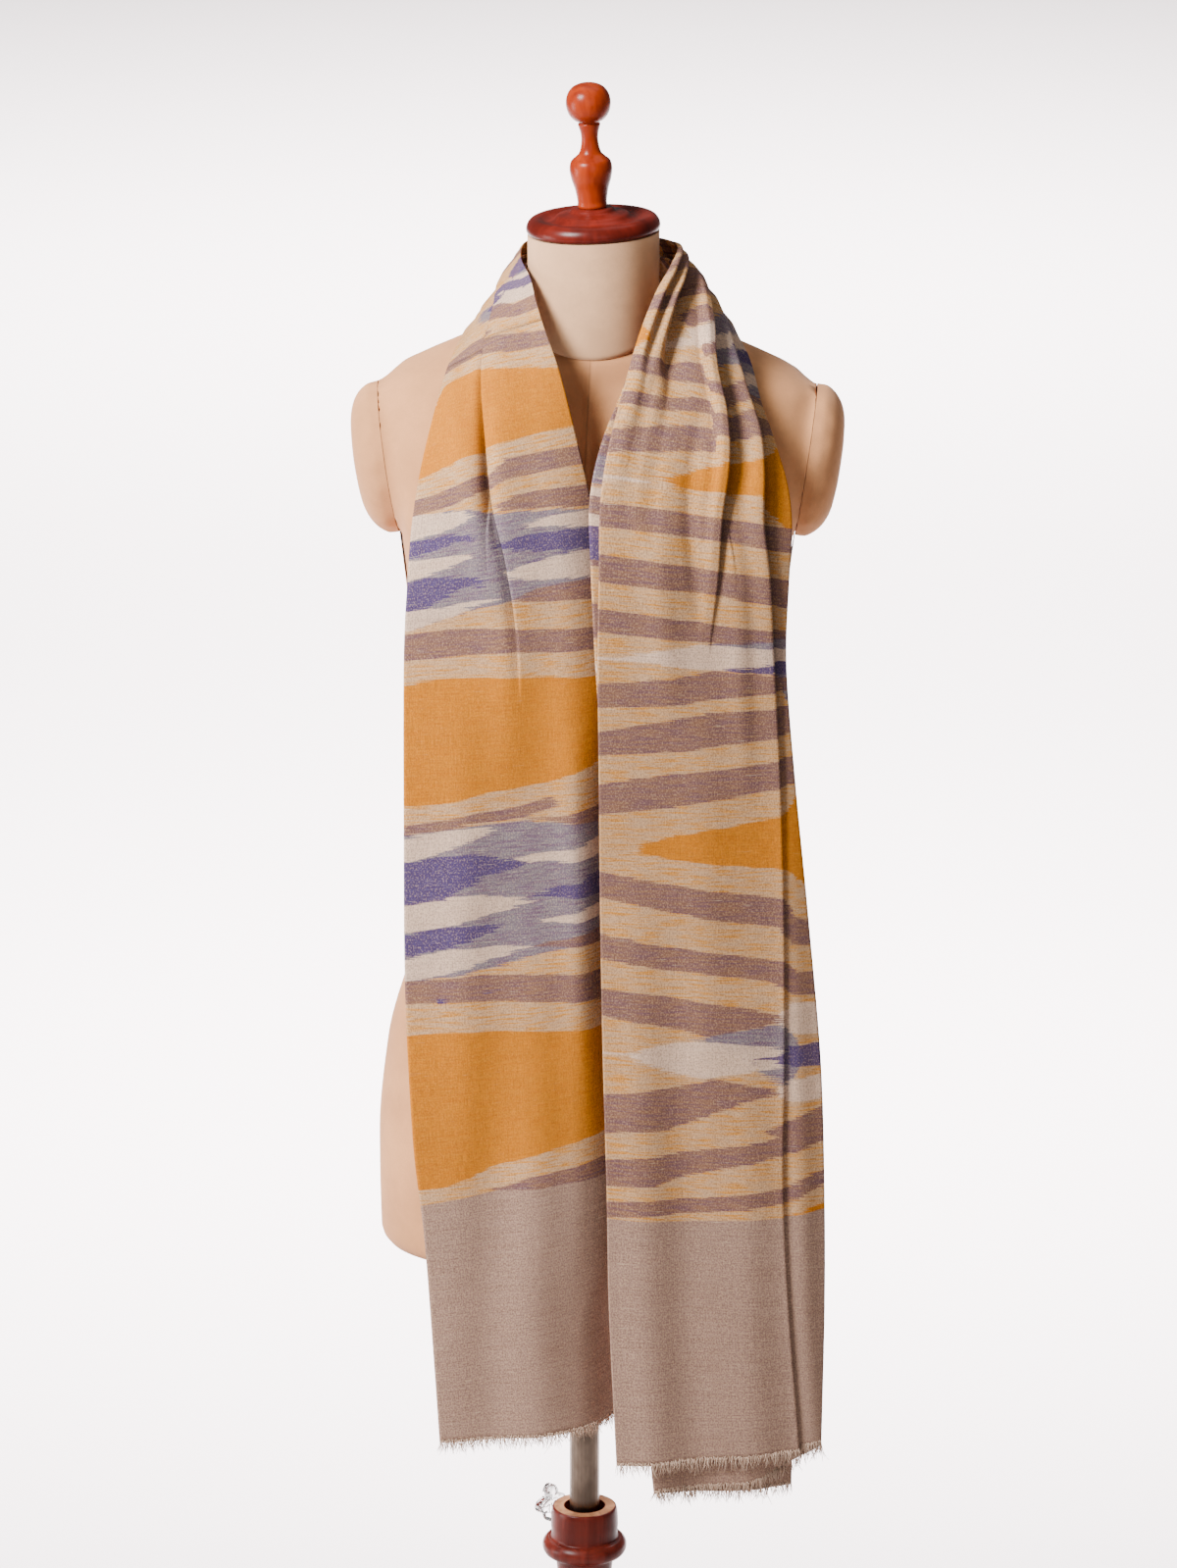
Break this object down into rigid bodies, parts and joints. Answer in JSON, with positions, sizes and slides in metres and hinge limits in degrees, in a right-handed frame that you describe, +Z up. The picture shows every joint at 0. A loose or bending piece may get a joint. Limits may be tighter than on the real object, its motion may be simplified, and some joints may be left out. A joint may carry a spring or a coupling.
{
  "type": "pashmina shawl on a limbless dress form and stand",
  "caption": "Striped pashmina shawl draped round the neck of a limbless dress form on a turned wooden stand with a clamped steel pole.",
  "frame": {"origin": "middle of the base's underside, on the stand's axis", "axes": "+Z up along the stand's pole, -Y towards the front of the dress form, +X towards the right of someone who looks at its front"},
  "size_m": [0.4001, 0.4, 1.681],
  "materials": {
    "cloth": "fine soft twill with a low sheen, striped across in mustard, beige, taupe, indigo, ivory and grey-blue with feathered edges",
    "fringe": "short loose warp ends, matte",
    "suede": "short even nap, matte, pinkish beige",
    "neck_suede": "short even nap, matte, paler beige",
    "dark_wood": "dark mahogany stain under gloss lacquer",
    "red_wood": "orange-brown stain under gloss lacquer",
    "steel": "plain drawn tube, satin",
    "clear_plastic": "clear and colourless, smooth"
  },
  "bodies": {
    "stand": {"stand_base": "dark_wood", "stand_column": "dark_wood"},
    "mast": {"pole": "steel"},
    "form": {"torso": "suede", "arm_plate_left": "suede", "arm_plate_right": "suede", "neck_block": "neck_suede", "neck_cap": "dark_wood", "finial": "red_wood", "swivel_flange": "steel", "shawl_left_end": "cloth", "shawl_neck_wrap": "cloth", "shawl_right_end": "cloth", "fringe_left_end": "fringe", "fringe_right_end": "fringe"},
    "knob": {"clamp_knob": "clear_plastic", "knob_screw": "steel"}
  },
  "joints": [
    {"name": "height_slide", "type": "slide", "parent": "stand", "child": "mast", "axis": [0, 0, 1], "range_m": [-0.15, 0.12]},
    {"name": "form_swivel", "type": "hinge", "parent": "mast", "child": "form", "pos_m": [0, 0, 0.7446], "axis": [0, 0, 1], "continuous": true},
    {"name": "knob_turn", "type": "hinge", "parent": "stand", "child": "knob", "pos_m": [-0.02396, 0.01805, 0.5135], "axis": [-0.7986, 0.6018, 0], "continuous": true}
  ]
}
